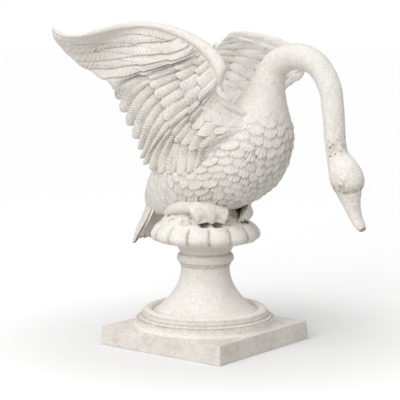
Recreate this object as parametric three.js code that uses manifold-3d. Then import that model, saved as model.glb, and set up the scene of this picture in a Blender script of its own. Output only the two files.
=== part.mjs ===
import * as THREE from 'three';
import { mergeVertices } from 'three/addons/utils/BufferGeometryUtils.js';
import Module from 'manifold-3d';

// A garden sculpture in painted cast iron: a swan with raised wings on a scalloped mound,
// standing on a turned socle with a square plinth. Millimetres, +Z up, +X the way the bird
// faces, origin at the middle of the plinth's underside.

// Plinth and socle
const PLINTH_SIDE = 330;
const PLINTH_HEIGHT = 41;
const PLINTH_DRAFT = 3.5;
const PLINTH_EDGE = 3;
const BAND_RADIUS = 153;
const BAND_HEIGHT = 17;
const BAND_FILLET = 6;
const BAND_CHAMFER = 1.5;
const FOOT_RING_RADIUS = 146;
const FOOT_RING_HEIGHT = 5;
const FOOT_RING_ROUND = 2.5;
const TORUS_RADIUS = 139;
const TORUS_WIDTH = 23;
const TORUS_HEIGHT = 16;
const TORUS_SWEEP = Math.PI * 0.95;
const TORUS_STEPS = 6;
const FLARE_RADIUS = 115;
const FLARE_HEIGHT = 99;
const FLARE_POWER = 2.05;
const FLARE_STEPS = 7;
const FLARE_SPACING = 0.8;
const WAIST_RADIUS = 53.5;
const COLLAR_WIDTH = 2.5;
const COLLAR_FOOT = 4;
const COLLAR_TOP = 9;
const ASTRAGAL_RADIUS = 63;
const ASTRAGAL_HEIGHT = 22;
const ASTRAGAL_INSET = 4;
const ASTRAGAL_SWEEP = Math.PI / 2.6;
const ASTRAGAL_STEPS = 4;
const CAP_HEIGHT = 20;
const CAP_RADIUS = 64;
// The cap's hollow side: how far outside the waist, at which share of the cap's height
const CAP_SIDE = [[3, 0], [4.5, 0.35], [8, 0.75]];
const TURNED_SIDES = 28;

// Joint between the two castings
const SEAT_GAP = 0.3;

// Scalloped mound under the bird
const MOUND_RADIUS = 121;
const MOUND_HEIGHT = 80;
const MOUND_LOBES = 15;
const LOBE_DEPTH = 7;
const LOBE_STEPS = 4;
const LOBE_ROUNDNESS = 0.6;
const LOBES_FROM = 0.66;
const LOBES_RUN = 0.22;
// From the underside's edge to the crown, as shares of the mound's radius and height
const MOUND_PROFILE = [
  [0.8, 0.07], [0.99, 0.2], [1, 0.3], [0.97, 0.42], [0.9, 0.54], [0.81, 0.64],
  [0.7, 0.75], [0.6, 0.88], [0.5, 1], [0.3, 1.06],
];
// The ground rises under the flanks: bearing and spread either side, height, and where
const GROUND_BEARING = 118;
const GROUND_SPREAD = 60;
const GROUND_RISE = 15;
const GROUND_FROM = 0.9;
const GROUND_RUN = 0.22;

// The bird, drawn in 486ths of its height above the seat
const SWAN_HEIGHT = 486;
const FIGURE_PARTS = 486;
const FIGURE = SWAN_HEIGHT / FIGURE_PARTS;

// Body, neck and head: ring by ring from the rump to the tip of the bill.
// Belly x and z, back x and z, half width.
const BODY_RINGS = [
  [-132, 58, -150, 94, 33],
  [-108, 56, -140, 127, 54],
  [-70, 58, -119, 165, 77],
  [-18, 67, -76, 203, 98],
  [45, 75, -26, 238, 108],
  [110, 97, 22, 266, 108],
  [165, 133, 56, 287, 103],
  [196, 181, 80, 303, 92],
  [210, 230, 95, 317, 77],
  [209, 272, 107, 331, 62],
  [203, 308, 119, 347, 49],
  [201, 338, 131, 365, 38],
];
// Centre line x and z, and radius, of the neck
const NECK_LINE = [
  [176, 380, 31],
  [192, 398, 29.5],
  [216, 409.5, 27.7],
  [244, 412, 27],
  [271, 406, 25.8],
  [293, 391, 24.7],
  [309, 371, 24],
  [321, 345, 23.4],
  [327, 315, 22.8],
  [330, 285, 22.2],
  [332.5, 252, 21.7],
  [336, 226, 21.7],
];
// Centre line x and z, half depth and half width, of the head and the bill
const HEAD_LINE = [
  [341, 211, 23.5, 23.5],
  [347, 198, 28, 26.5],
  [355, 184, 33, 30],
  [362, 170, 35.5, 32],
  [367, 156, 34, 31],
  [369, 143, 28.5, 26.5],
  [371, 132, 23.5, 23],
  [375, 118, 18, 19.5],
  [380, 102, 14, 17],
  [388, 86, 11.5, 15.5],
  [397, 72, 9, 13],
  [404, 64, 5.5, 9],
];
// How full the underside is at the rump, and over which rings that fades
const FLANK_FULLNESS = 0.35;
const FLANK_END = 4.5;
const FLANK_RUN = 3;
const BREAST_ROWS = 9;
const BREAST_SCALES = 14;
const SCALE_RELIEF = 3;
const SCALE_STEP = 0.08;
const SCALE_TIP = 0.22;
const SCALE_NOTCH = 0.16;
const FIRST_SCALED_RING = 1;
const LAST_SCALED_RING = 10.4;
const FIRST_NECK_RING = 11.5;
const NECK_RING_STEP = 1.25;

// One wing, from its tip along the leading edge to the front of the flank.
// Leading edge x, y, z, then the feather ends x, y, z, then the radius of the leading roll.
const WING_RIBS = [
  [-154, 314, 470, -160, 309, 462, 2.5],
  [-140, 303, 458, -164, 296, 446, 4],
  [-115, 280, 456, -173, 268, 430, 5],
  [-90, 250, 464, -172, 244, 411, 6.5],
  [-65, 206, 475, -165, 226, 395, 7.5],
  [-38, 175, 478, -152, 212, 383, 8.5],
  [-5, 157, 474, -130, 200, 367, 9.5],
  [30, 148, 465, -108, 190, 353, 11],
  [62, 144, 454, -108, 174, 328, 12],
  [92, 143, 441, -107, 158, 298, 13],
  [116, 143, 426, -98, 143, 262, 14],
  [138, 142, 406, -90, 130, 229, 15],
  [151, 141, 379, -86, 119, 203, 15],
  [132, 133, 358, -84, 109, 180, 9],
  [121, 125, 343, -60, 98, 158, 6],
  [121, 114, 328, 4, 109, 160, 6],
  [130, 101, 314, 50, 110, 168, 5],
  [144, 82, 301, 84, 106, 198, 4],
  [160, 52, 290, 118, 88, 215, 4],
];
const WING_FEATHERS = 19;
const WING_TIP_THICKNESS = 7;
const WING_ROOT_THICKNESS = 12;
// The leading roll: reach and rise as shares of its radius, which is limited by the chord
const ROLL_OUTLINE = [[-1, 0], [-0.6, 0.8], [0.3, 1]];
const ROLL_END = 1.1;
const ROLL_LIMIT = 0.2;
const COVERT_TIERS = [0.34, 0.62];
const TIER_STAGGER = 0.05;
const TIER_SLOPE = 1.2;
const FEATHER_RELIEF = 3.5;
const RELIEF_RUN = 40;
const FEATHER_NOTCH = 0.07;
const FEATHER_EDGE = [0.5, 0.9];
// The sheet thickens inwards where it meets the flank
const ROOT_FILL = 46;
const ROOT_TOP = 312;
const ROOT_RUN = 70;
const ROOT_REACH = 4;
// The left wing hangs lower towards its tip, and its tip is folded in, back and down
const LEFT_WING_DROP = 14;
const LEFT_DROP_RUN = 150;
const LEFT_DROP_FOOT = 300;
const LEFT_DROP_RISE = 100;
const LEFT_WING_FOLD = [-32, -30, -12];
const LEFT_FOLD_RIBS = 8;

// Tail fan: middle line x and z, edge line x, y and z, from the rump to the feather tips
const TAIL_RIBS = [
  [-104, 158, -60, 58, 158],
  [-128, 130, -84, 58, 128],
  [-142, 98, -94, 60, 94],
  [-156, 66, -104, 68, 58],
  [-174, 28, -132, 66, 20],
  [-188, -6, -158, 57, -10],
];
const TAIL_FEATHERS = 7;
const TAIL_THICKNESS = 12;
const TAIL_RIDGE = 1.5;
const TAIL_NOTCH = 0.06;
const TAIL_STEPS = 5;
const TAIL_LEAN = [0.9, 0.4];
const TAIL_INNER_SHARE = 0.96;

// Webbed feet: their edge under the belly from heel to front, then the toes
const FOOT_TOP = [
  [8, 83, 100],
  [26, 83, 101],
  [44, 77, 100],
  [64, 61, 95],
  [82, 34, 87],
];
const TOE_BEARINGS = [63, 44, 27];
const TOE_REACH = 98;
const TOE_HEIGHT = 55;
const TOE_RADIUS = 3.5;
const WEB_THICKNESS = 7;
const WEB_LIFT = 9;
const WEB_BULGE = 8;
const WEB_DEPTH = 10;
const WEB_EDGE = 0.3;
const FOOT_SLOPE = [0.8, 0.6];
const FOOT_COLUMNS = 8;
const FOOT_STEPS = 5;
// Centre line x, y, z and radius of the shank that runs back along the flank
const SHANK = [
  [26, 78, 92, 13],
  [4, 82, 91, 14],
  [-18, 80, 87, 13],
  [-38, 75, 81, 11],
  [-54, 69, 75, 9],
  [-66, 63, 70, 4],
];
const SHANK_SIDES = 8;
const SHANK_LEAN = 0.3;

const wasm = await Module();
wasm.setup();

const clamp = (value, low, high) => Math.min(Math.max(value, low), high);

function smooth(value) {
  const t = clamp(value, 0, 1);
  return t * t * (3 - 2 * t);
}

// A smooth run through rows of numbers, read at a place from 0 to the last row
function along(rows, place) {
  const last = rows.length - 1;
  const i = clamp(Math.floor(place), 0, last - 1);
  const f = place - i;
  const row = (k) => rows[clamp(k, 0, last)];
  return rows[i].map((value, n) => {
    const before = row(i - 1)[n];
    const next = row(i + 1)[n];
    const after = row(i + 2)[n];
    const slope = (next - before) * f;
    const bend = (2 * before - 5 * value + 4 * next - after) * f ** 2;
    const twist = (3 * value - before - 3 * next + after) * f ** 3;
    return 0.5 * (2 * value + slope + bend + twist);
  });
}

// A closed skin over rings that have equal numbers of points, with both ends closed
function loft(rings) {
  const count = rings[0].length;
  const positions = rings.flat().flatMap((p) => [p.x, p.y, p.z]);
  const index = [];
  for (let i = 0; i + 1 < rings.length; i += 1) {
    for (let j = 0; j < count; j += 1) {
      const a = i * count + j;
      const b = i * count + ((j + 1) % count);
      index.push(a, b, b + count, a, b + count, a + count);
    }
  }
  for (const end of [0, rings.length - 1]) {
    const middle = new THREE.Vector3();
    rings[end].forEach((p) => middle.addScaledVector(p, 1 / count));
    const hub = positions.length / 3;
    positions.push(middle.x, middle.y, middle.z);
    for (let j = 0; j < count; j += 1) {
      const a = end * count + j;
      const b = end * count + ((j + 1) % count);
      index.push(...(end === 0 ? [hub, b, a] : [hub, a, b]));
    }
  }
  const geometry = new THREE.BufferGeometry();
  geometry.setAttribute('position', new THREE.Float32BufferAttribute(positions, 3));
  geometry.setIndex(index);
  return facingOut(geometry);
}

// Turns a closed skin the right way round when its volume comes out negative
function facingOut(geometry) {
  const p = geometry.getAttribute('position');
  const index = geometry.getIndex().array;
  const corner = (i) => new THREE.Vector3().fromBufferAttribute(p, index[i]);
  let volume = 0;
  for (let i = 0; i < index.length; i += 3) {
    volume += corner(i).dot(corner(i + 1).cross(corner(i + 2)));
  }
  if (volume < 0) {
    for (let i = 0; i < index.length; i += 3) {
      const swap = index[i];
      index[i] = index[i + 1];
      index[i + 1] = swap;
    }
  }
  return geometry;
}

function solid(geometry) {
  const bare = geometry.clone();
  bare.deleteAttribute('normal');
  bare.deleteAttribute('uv');
  const merged = mergeVertices(bare, 1e-4);
  const vertProperties = new Float32Array(merged.getAttribute('position').array);
  const triVerts = new Uint32Array(merged.getIndex().array);
  return new wasm.Manifold(new wasm.Mesh({ numProp: 3, vertProperties, triVerts }));
}

function joined(geometries) {
  const whole = geometries.map(solid).reduce((sum, next) => sum.add(next));
  const mesh = whole.getMesh();
  const geometry = new THREE.BufferGeometry();
  geometry.setAttribute('position', new THREE.Float32BufferAttribute(mesh.vertProperties, 3));
  geometry.setIndex([...mesh.triVerts]);
  return geometry;
}

// Point of the bird's own drawing, at its real size
const figurePoint = (x, y, z) => new THREE.Vector3(x, y, z).multiplyScalar(FIGURE);

// Body, neck and head rings as a middle, a direction towards the back, two half sizes
function birdSections() {
  const body = BODY_RINGS.map(([vx, vz, dx, dz, width]) => {
    const depth = Math.hypot(dx - vx, dz - vz) / 2;
    const turn = Math.atan2(dz - vz, dx - vx);
    return [(vx + dx) / 2, (vz + dz) / 2, turn, depth, width];
  });
  const line = [...NECK_LINE.map(([x, z, r]) => [x, z, r, r]), ...HEAD_LINE];
  const rest = line.map(([x, z, depth, width], i) => {
    const [ax, az] = line[Math.max(i - 1, 0)];
    const [bx, bz] = line[Math.min(i + 1, line.length - 1)];
    let turn = Math.atan2(bz - az, bx - ax) + Math.PI / 2;
    if (i === 0) {
      turn = body.at(-1)[2];
    }
    return [x, z, turn, depth, width];
  });
  return [...body, ...rest];
}

// Rings of the bird; over the breast each row of feathers is a step with scalloped tips
function birdRings() {
  const sections = birdSections();
  const last = sections.length - 1;
  const columns = BREAST_SCALES * 2;
  const ring = (place, relief) => {
    const points = [];
    for (let j = 0; j < columns; j += 1) {
      const lift = relief(j);
      const at = clamp(place + lift.shift, 0, last);
      const [x, z, turn, depth, width] = along(sections, at);
      const angle = (j / columns) * Math.PI * 2;
      const rump = smooth((FLANK_END - at) / FLANK_RUN);
      const power = Math.cos(angle) < 0 ? 1 - FLANK_FULLNESS * rump : 1;
      const full = (share) => Math.sign(share) * Math.abs(share) ** power;
      const up = (depth + lift.rise) * full(Math.cos(angle));
      const out = (width + lift.rise) * full(Math.sin(angle));
      points.push(figurePoint(x + up * Math.cos(turn), out, z + up * Math.sin(turn)));
    }
    return points;
  };
  const flat = () => ({ shift: 0, rise: 0 });
  const rings = [ring(0, flat), ring(FIRST_SCALED_RING / 2, flat)];
  const step = (LAST_SCALED_RING - FIRST_SCALED_RING) / BREAST_ROWS;
  for (let row = 0; row < BREAST_ROWS; row += 1) {
    const tip = FIRST_SCALED_RING + row * step;
    const scallop = (j) => ((j + row) % 2 === 0 ? -SCALE_TIP * step : SCALE_NOTCH * step);
    const raised = (j) => ({ shift: scallop(j), rise: SCALE_RELIEF });
    rings.push(ring(tip, (j) => ({ shift: scallop(j), rise: 0 })));
    rings.push(ring(tip + SCALE_STEP * step, raised));
  }
  for (let place = FIRST_NECK_RING; place < last; place += NECK_RING_STEP) {
    rings.push(ring(place, flat));
  }
  rings.push(ring(last, flat));
  return rings;
}

// A wing as sections across its feathers: round leading roll, then the stepped sheet.
// The side is -1 for the wing on the bird's right and 1 for the one on its left.
function wingRings(side) {
  const last = WING_RIBS.length - 1;
  const columns = WING_FEATHERS * 2;
  const line = (place, c) => {
    const [ax, ay, az, bx, by, bz] = along(WING_RIBS, place);
    return new THREE.Vector3(ax + (bx - ax) * c, ay + (by - ay) * c, az + (bz - az) * c);
  };
  const placed = (p, place) => {
    if (side > 0) {
      const fold = smooth((LEFT_FOLD_RIBS - place) / LEFT_FOLD_RIBS);
      const back = smooth((LEFT_DROP_RUN - p.x) / LEFT_DROP_RUN);
      const high = smooth((p.z - LEFT_DROP_FOOT) / LEFT_DROP_RISE);
      p.addScaledVector(new THREE.Vector3(...LEFT_WING_FOLD), fold);
      p.z -= LEFT_WING_DROP * back * high;
    }
    return figurePoint(p.x, p.y * side, p.z);
  };
  const rings = [];
  for (let j = 0; j <= columns; j += 1) {
    const place = (j / columns) * last;
    const middle = j % 2;
    const chord = line(place, 0).distanceTo(line(place, 1));
    const roll = Math.min(along(WING_RIBS, place)[6], chord * ROLL_LIMIT);
    const gain = (WING_ROOT_THICKNESS - WING_TIP_THICKNESS) * (place / last);
    const thin = Math.min((WING_TIP_THICKNESS + gain) / 2, roll);
    const rows = ROLL_OUTLINE.map(([reach, rise]) => [reach * roll, rise * roll]);
    const rest = chord - ROLL_END * roll;
    rows.push([ROLL_END * roll, thin]);
    for (const tier of COVERT_TIERS) {
      const tip = ROLL_END * roll + rest * (tier + TIER_STAGGER * middle);
      rows.push([tip, thin + FEATHER_RELIEF * smooth(rest / RELIEF_RUN)]);
      rows.push([tip + TIER_SLOPE, thin]);
    }
    rows.push([chord * (1 - FEATHER_NOTCH * (1 - middle)), thin * FEATHER_EDGE[middle]]);
    const outer = [];
    const inner = [];
    rows.forEach(([reach, rise], k) => {
      const c = reach / chord;
      const p = line(place, c);
      const across = line(place, c + 0.02).sub(line(place, c - 0.02));
      const ahead = line(place + 0.1, c).sub(line(place - 0.1, c));
      const normal = new THREE.Vector3().crossVectors(across, ahead).normalize();
      if (normal.y < 0) {
        normal.negate();
      }
      const low = smooth((ROOT_TOP - p.z) / ROOT_RUN) * smooth((1 - c) * ROOT_REACH);
      const back = p.clone().addScaledVector(normal, -rise);
      back.y -= ROOT_FILL * low;
      outer.push(placed(p.clone().addScaledVector(normal, rise), place));
      if (k > 0) {
        inner.push(placed(back, place));
      }
    });
    rings.push([...outer, ...inner.reverse()]);
  }
  return rings;
}

// Tail fan hanging behind the mound, ridged feather by feather, with pointed tips
function tailRings() {
  const columns = TAIL_FEATHERS * 2;
  const [leanX, leanZ] = TAIL_LEAN;
  const rings = [];
  for (let j = 0; j <= columns; j += 1) {
    const across = (j / columns) * 2 - 1;
    const middle = j % 2;
    const half = TAIL_THICKNESS / 2 + middle * TAIL_RIDGE;
    const front = [];
    const back = [];
    for (let i = 0; i <= TAIL_STEPS; i += 1) {
      const reach = (i / TAIL_STEPS) * (1 - TAIL_NOTCH * (1 - middle));
      const [mx, mz, ex, ey, ez] = along(TAIL_RIBS, reach * (TAIL_RIBS.length - 1));
      const x = mx + (ex - mx) * across ** 2;
      const z = mz + (ez - mz) * across ** 2;
      const y = ey * across;
      front.push(figurePoint(x + half * leanX, y * TAIL_INNER_SHARE, z + half * leanZ));
      back.push(figurePoint(x - half * leanX, y, z - half * leanZ));
    }
    rings.push([...front, ...back.reverse()]);
  }
  return rings;
}

// The mound from its flat underside to its crown: a scalloped rim below, and above it plain
// ground that rises towards the flanks. The underside keeps to the socle's cap.
function moundRings() {
  const columns = MOUND_LOBES * LOBE_STEPS;
  const towards = THREE.MathUtils.degToRad(GROUND_BEARING);
  const spread = THREE.MathUtils.degToRad(GROUND_SPREAD);
  const turned = ([share, height]) => {
    const points = [];
    for (let j = 0; j < columns; j += 1) {
      const bearing = (j / columns) * Math.PI * 2;
      const swell = Math.abs(Math.sin((j / LOBE_STEPS) * Math.PI)) ** LOBE_ROUNDNESS;
      const folded = Math.min(bearing, Math.PI * 2 - bearing);
      const near = smooth(1 - Math.abs(folded - towards) / spread);
      const ground = near * smooth((GROUND_FROM - share) / GROUND_RUN) * (height > 0 ? 1 : 0);
      const depth = LOBE_DEPTH * smooth((share - LOBES_FROM) / LOBES_RUN) * (1 - ground);
      const r = share * MOUND_RADIUS - depth * (1 - swell);
      const z = height * MOUND_HEIGHT + GROUND_RISE * ground;
      points.push(figurePoint(r * Math.cos(bearing), r * Math.sin(bearing), z));
    }
    return points;
  };
  const underside = [CAP_RADIUS / FIGURE / MOUND_RADIUS, 0];
  return [underside, ...MOUND_PROFILE].map(turned);
}

// A webbed foot hanging from the belly over the mound: three toes and the web between them
function footRings(side) {
  const [slopeOut, slopeUp] = FOOT_SLOPE;
  const rings = [];
  for (let i = 0; i <= FOOT_STEPS; i += 1) {
    const top = [];
    const under = [];
    for (let j = 0; j <= FOOT_COLUMNS; j += 1) {
      const across = (j / FOOT_COLUMNS) * 2;
      const k = clamp(Math.floor(across), 0, 1);
      const from = TOE_BEARINGS[k];
      const turn = from + (TOE_BEARINGS[k + 1] - from) * (across - k);
      const bearing = THREE.MathUtils.degToRad(turn);
      const toe = Math.abs(Math.cos((across - k) * Math.PI));
      const x = TOE_REACH * Math.cos(bearing);
      const y = TOE_REACH * Math.sin(bearing);
      const tip = new THREE.Vector3(x, y, TOE_HEIGHT + WEB_LIFT * (1 - toe));
      const t = i / FOOT_STEPS;
      const p = new THREE.Vector3(...along(FOOT_TOP, across * 2)).lerp(tip, t);
      const out = new THREE.Vector3(
        slopeOut * Math.cos(bearing),
        slopeOut * Math.sin(bearing),
        slopeUp,
      );
      const end = i === FOOT_STEPS ? WEB_EDGE : 1;
      const rise = (WEB_THICKNESS + TOE_RADIUS * toe + WEB_BULGE * Math.sin(t * Math.PI)) * end;
      const front = p.clone().addScaledVector(out, rise);
      const back = p.clone().addScaledVector(out, -WEB_DEPTH * end);
      top.push(figurePoint(front.x, front.y * side, front.z));
      under.push(figurePoint(back.x, back.y * side, back.z));
    }
    rings.push([...top, ...under.reverse()]);
  }
  return rings;
}

function shankRings(side) {
  return SHANK.map(([x, y, z, radius]) => {
    const points = [];
    for (let j = 0; j < SHANK_SIDES; j += 1) {
      const turn = (j / SHANK_SIDES) * Math.PI * 2;
      const out = radius * Math.cos(turn);
      const up = radius * Math.sin(turn);
      points.push(figurePoint(x + SHANK_LEAN * out, (y + out) * side, z + up));
    }
    return points;
  });
}

function swanGeometry() {
  const pieces = [birdRings(), wingRings(-1), wingRings(1), tailRings()];
  pieces.push(moundRings(), footRings(-1), footRings(1), shankRings(-1), shankRings(1));
  return joined(pieces.map(loft));
}

// Half outline of the socle from its foot on the plinth up to the seat of the mound
function socleProfile() {
  const profile = [];
  const add = (r, z) => profile.push(new THREE.Vector2(r, z));
  const arc = (r, z, width, height, from, to, steps) => {
    for (let i = 0; i <= steps; i += 1) {
      const angle = from + ((to - from) * i) / steps;
      add(r + width * Math.cos(angle), z + height * Math.sin(angle));
    }
  };
  const quarter = Math.PI / 2;
  const filletMiddle = BAND_RADIUS + BAND_FILLET;
  add(0, -PLINTH_EDGE);
  add(filletMiddle, -PLINTH_EDGE);
  arc(filletMiddle, BAND_FILLET, BAND_FILLET, BAND_FILLET, -quarter, -2 * quarter, 2);
  add(BAND_RADIUS, BAND_HEIGHT - BAND_CHAMFER);
  add(BAND_RADIUS - BAND_CHAMFER, BAND_HEIGHT);
  const ringTop = BAND_HEIGHT + FOOT_RING_HEIGHT;
  const ringMiddle = FOOT_RING_RADIUS - FOOT_RING_ROUND;
  const ringLow = ringTop - FOOT_RING_ROUND;
  arc(ringMiddle, ringLow, FOOT_RING_ROUND, FOOT_RING_ROUND, -quarter / 2, quarter, 2);
  const torusMiddle = TORUS_RADIUS - TORUS_WIDTH / 2;
  const torusLow = ringTop - PLINTH_EDGE / 2;
  arc(torusMiddle, torusLow, TORUS_WIDTH / 2, TORUS_HEIGHT, 0, TORUS_SWEEP, TORUS_STEPS);
  const flareLow = torusLow + TORUS_HEIGHT / 2;
  for (let i = 0; i <= FLARE_STEPS; i += 1) {
    const rise = (i / FLARE_STEPS) ** FLARE_SPACING;
    const r = WAIST_RADIUS + (FLARE_RADIUS - WAIST_RADIUS) * (1 - rise) ** FLARE_POWER;
    add(r, flareLow + FLARE_HEIGHT * rise);
  }
  const waist = flareLow + FLARE_HEIGHT;
  const beadLow = waist + COLLAR_TOP;
  add(WAIST_RADIUS, waist + COLLAR_FOOT);
  add(WAIST_RADIUS + COLLAR_WIDTH, waist + COLLAR_FOOT + 1);
  add(WAIST_RADIUS + COLLAR_WIDTH, beadLow);
  const beadMiddle = beadLow + ASTRAGAL_HEIGHT / 2;
  const beadFoot = WAIST_RADIUS + ASTRAGAL_INSET;
  const bead = ASTRAGAL_RADIUS - beadFoot;
  const sweep = ASTRAGAL_SWEEP;
  arc(beadFoot, beadMiddle, bead, ASTRAGAL_HEIGHT / 2, -sweep, sweep, ASTRAGAL_STEPS);
  const capLow = beadLow + ASTRAGAL_HEIGHT;
  for (const [out, share] of CAP_SIDE) {
    add(WAIST_RADIUS + out, capLow + CAP_HEIGHT * share);
  }
  add(CAP_RADIUS, capLow + CAP_HEIGHT);
  add(0, capLow + CAP_HEIGHT);
  return profile;
}

const SOCLE_PROFILE = socleProfile();
const SEAT_HEIGHT = PLINTH_HEIGHT + SOCLE_PROFILE.at(-1).y;

function plinthGeometry() {
  const half = PLINTH_SIDE / 2;
  const square = (size, z) => {
    const c = size - PLINTH_EDGE;
    const points = [];
    for (const [x, y] of [[1, 1], [-1, 1], [-1, -1], [1, -1]]) {
      const first = x * y > 0 ? [size * x, c * y] : [c * x, size * y];
      const second = x * y > 0 ? [c * x, size * y] : [size * x, c * y];
      points.push(new THREE.Vector3(...first, z), new THREE.Vector3(...second, z));
    }
    return points;
  };
  const top = half - PLINTH_DRAFT;
  return loft([
    square(half, 0),
    square(top, PLINTH_HEIGHT - PLINTH_EDGE),
    square(top - PLINTH_EDGE, PLINTH_HEIGHT),
  ]);
}

function pedestalGeometry() {
  const socle = new THREE.LatheGeometry(SOCLE_PROFILE, TURNED_SIDES);
  socle.rotateX(Math.PI / 2);
  socle.translate(0, 0, PLINTH_HEIGHT);
  socle.deleteAttribute('normal');
  socle.deleteAttribute('uv');
  return joined([plinthGeometry(), facingOut(mergeVertices(socle, 1e-4))]);
}

const paint = new THREE.MeshStandardMaterial({ color: 0xe9e4da, roughness: 0.85, metalness: 0 });

const sculpture = new THREE.Group();

const pedestal = new THREE.Mesh(pedestalGeometry(), paint.clone());
pedestal.name = 'pedestal';
sculpture.add(pedestal);

const swan = new THREE.Mesh(swanGeometry(), paint.clone());
swan.name = 'swan';
swan.position.z = SEAT_HEIGHT + SEAT_GAP;
sculpture.add(swan);

export default sculpture;
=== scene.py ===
import math

import bmesh
import bpy
import numpy as np
from mathutils import Matrix, Vector, noise


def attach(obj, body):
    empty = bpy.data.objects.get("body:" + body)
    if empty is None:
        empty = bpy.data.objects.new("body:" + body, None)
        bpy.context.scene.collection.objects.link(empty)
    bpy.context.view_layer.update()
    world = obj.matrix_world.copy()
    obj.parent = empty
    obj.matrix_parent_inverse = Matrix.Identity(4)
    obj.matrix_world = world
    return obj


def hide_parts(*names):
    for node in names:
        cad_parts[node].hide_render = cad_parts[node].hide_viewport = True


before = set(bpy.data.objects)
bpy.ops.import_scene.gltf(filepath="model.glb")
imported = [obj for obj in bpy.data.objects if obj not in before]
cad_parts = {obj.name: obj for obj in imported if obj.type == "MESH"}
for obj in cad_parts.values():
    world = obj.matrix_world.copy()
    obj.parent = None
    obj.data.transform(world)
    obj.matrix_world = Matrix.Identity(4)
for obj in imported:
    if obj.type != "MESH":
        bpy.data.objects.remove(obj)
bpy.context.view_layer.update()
bpy.ops.object.select_all(action="DESELECT")

# Plinth
# The square foot of the pedestal, cast in grey iron in a sand mould and painted off-white.
# It tapers slightly upwards so that it leaves the mould, and its edges are worn and nicked.
MM = 0.001
PLINTH_SIDE = 330
PLINTH_HEIGHT = 41
PLINTH_DRAFT = 3.5
PLINTH_EDGE = 2.2
PLINTH_CUTS = 70
EDGE_WEAR = 1.3
EDGE_REACH = 9
NICK_SIZE = 13
NICKS_SPARED = 0.18
# Unevenness of the casting: size of the lumps in mm, their seed and their height in mm
PLINTH_WAVES = ((42, 0.0, 0.35), (9, 3.1, 0.12))

PAINT_HIGH = "#F2EFEA"
PAINT_COOL = "#EAE6E0"
PAINT_STAIN = "#DFD8CD"
# Darker specks: partly dark grains and pits in the paint, partly painted shade of the grain
PAINT_SPECK_AND_GRAIN_SHADE = "#B9AD9A"
# Brown of the dirt and of the painted shade in the hollows
DIRT_AND_SHADE_BROWN = "#8A7354"
HOLE_RUST = "#6F6252"
CLOUD_SIZE = 95
PATCH_SIZE = 13
GRAIN_SIZE = 3.8
HOLE_SPACING = 21
PATCH_BUMP = 1.2
BARB_BUMP = 0.75
HOLE_BUMP = 1.0


def linear(code):
    """sRGB hex colour as linear RGBA"""
    parts = [int(code[i:i + 2], 16) / 255 for i in (1, 3, 5)]
    return [c / 12.92 if c <= 0.04045 else ((c + 0.055) / 1.055) ** 2.4 for c in parts] + [1]


def add_node(tree, kind, settings=None, **links):
    """Adds one node; settings are its properties, links its inputs by name"""
    node = tree.nodes.new(kind)
    for key, value in (settings or {}).items():
        setattr(node, key, value)
    for key, value in links.items():
        name = key.replace("_", " ")
        found = [s for s in node.inputs if s.name == name and s.enabled]
        socket = found[0] if found else node.inputs[int(key[1:])]
        if isinstance(value, bpy.types.NodeSocket):
            tree.links.new(value, socket)
        else:
            socket.default_value = value
    return node


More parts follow.
